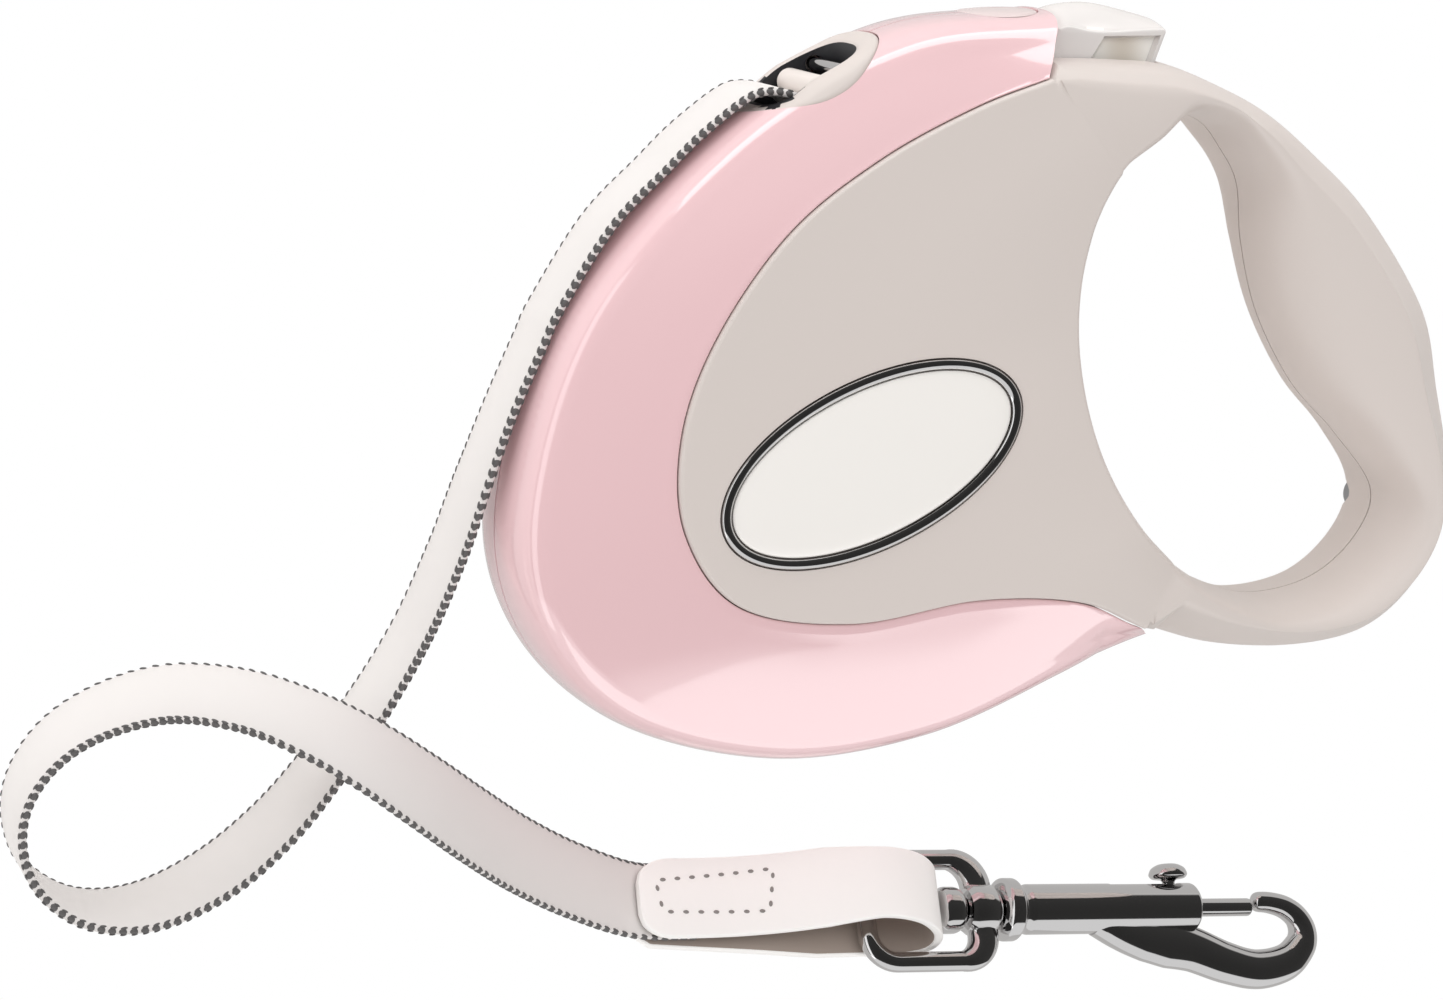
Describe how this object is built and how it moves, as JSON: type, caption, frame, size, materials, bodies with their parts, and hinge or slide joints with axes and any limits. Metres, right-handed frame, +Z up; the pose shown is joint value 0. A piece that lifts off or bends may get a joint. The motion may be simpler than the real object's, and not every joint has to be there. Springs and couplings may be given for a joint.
{
  "type": "retractable tape dog leash",
  "caption": "Retractable dog leash with an oval two-tone housing, closed hand grip, thumb brake button and a white tape ending in a leather tab and swivel bolt snap.",
  "frame": {"origin": "on the table under the middle of the housing's box, measured without the tape and the hook on it", "axes": "+X along the housing from the drum to the hand grip, +Y across it towards the brake button, +Z up out of the front face; the leash lies on its rear face"},
  "size_m": [0.2265, 0.1615, 0.0325],
  "materials": {
    "warm_grey_abs": "satin moulded ABS",
    "gloss_pink_abs": "glossy moulded ABS",
    "bright_chrome": "polished plating",
    "spring_steel": "plain steel",
    "dark_acetal": "natural moulded acetal",
    "ivory_acetal": "smooth moulded acetal",
    "white_polyester": "woven polyester tape",
    "white_leather": "smooth white leather",
    "satin_silver": "satin, bare of marks",
    "pearl_chrome": "metallised satin ABS",
    "pearl_abs": "pearl moulded ABS"
  },
  "bodies": {
    "housing": {"front_frame_half": "warm_grey_abs", "rear_frame_half": "warm_grey_abs", "front_cover": "gloss_pink_abs", "rear_cover": "gloss_pink_abs", "outlet_bezel": "warm_grey_abs", "roller_pin": "bright_chrome", "guide_post": "bright_chrome", "button_inlay": "pearl_abs", "brake_spring": "spring_steel", "recoil_spring": "spring_steel", "axle": "spring_steel", "tape_lead": "white_polyester", "badge_ring": "bright_chrome", "badge_plate": "satin_silver", "housing_screw_1": "spring_steel", "housing_screw_2": "spring_steel", "housing_screw_3": "spring_steel", "tape": "white_polyester", "leather_tab": "white_leather"},
    "reel": {"reel": "dark_acetal", "spring_cover": "dark_acetal", "tape_winding": "white_polyester"},
    "guide_roller": {"guide_roller": "ivory_acetal"},
    "brake": {"brake_button": "pearl_chrome", "brake_bar": "dark_acetal"},
    "eye": {"swivel_eye": "bright_chrome"},
    "hook": {"hook_body": "bright_chrome", "hook_stem": "bright_chrome", "bolt_spring": "spring_steel"},
    "bolt": {"hook_bolt": "bright_chrome", "bolt_knob": "bright_chrome"}
  },
  "joints": [
    {"name": "reel_turn", "type": "hinge", "parent": "housing", "child": "reel", "pos_m": [-0.03163, -0.00825, 0.016], "axis": [0, 0, 1], "continuous": true, "deforming": ["recoil_spring"]},
    {"name": "roller_turn", "type": "hinge", "parent": "housing", "child": "guide_roller", "pos_m": [-0.03012, 0.04472, 0.016], "axis": [0, 0, 1], "continuous": true},
    {"name": "brake_press", "type": "slide", "parent": "housing", "child": "brake", "axis": [-0.375, -0.927, 0], "range_m": [0, 0.0028], "stiffness_N_per_m": 900, "deforming": ["brake_spring"]},
    {"name": "eye_tilt", "type": "hinge", "parent": "housing", "child": "eye", "pos_m": [-0.01565, -0.08525, 0.00741], "axis": [0.0785, 0.8156, -0.5732], "range_deg": [-30, 30]},
    {"name": "hook_swivel", "type": "hinge", "parent": "eye", "child": "hook", "pos_m": [0.00747, -0.08805, 0.0066], "axis": [0.9922, -0.1201, -0.0349], "continuous": true},
    {"name": "bolt_slide", "type": "slide", "parent": "hook", "child": "bolt", "axis": [-0.9922, 0.1201, 0.0349], "range_m": [0, 0.01], "stiffness_N_per_m": 250, "deforming": ["bolt_spring"]}
  ]
}
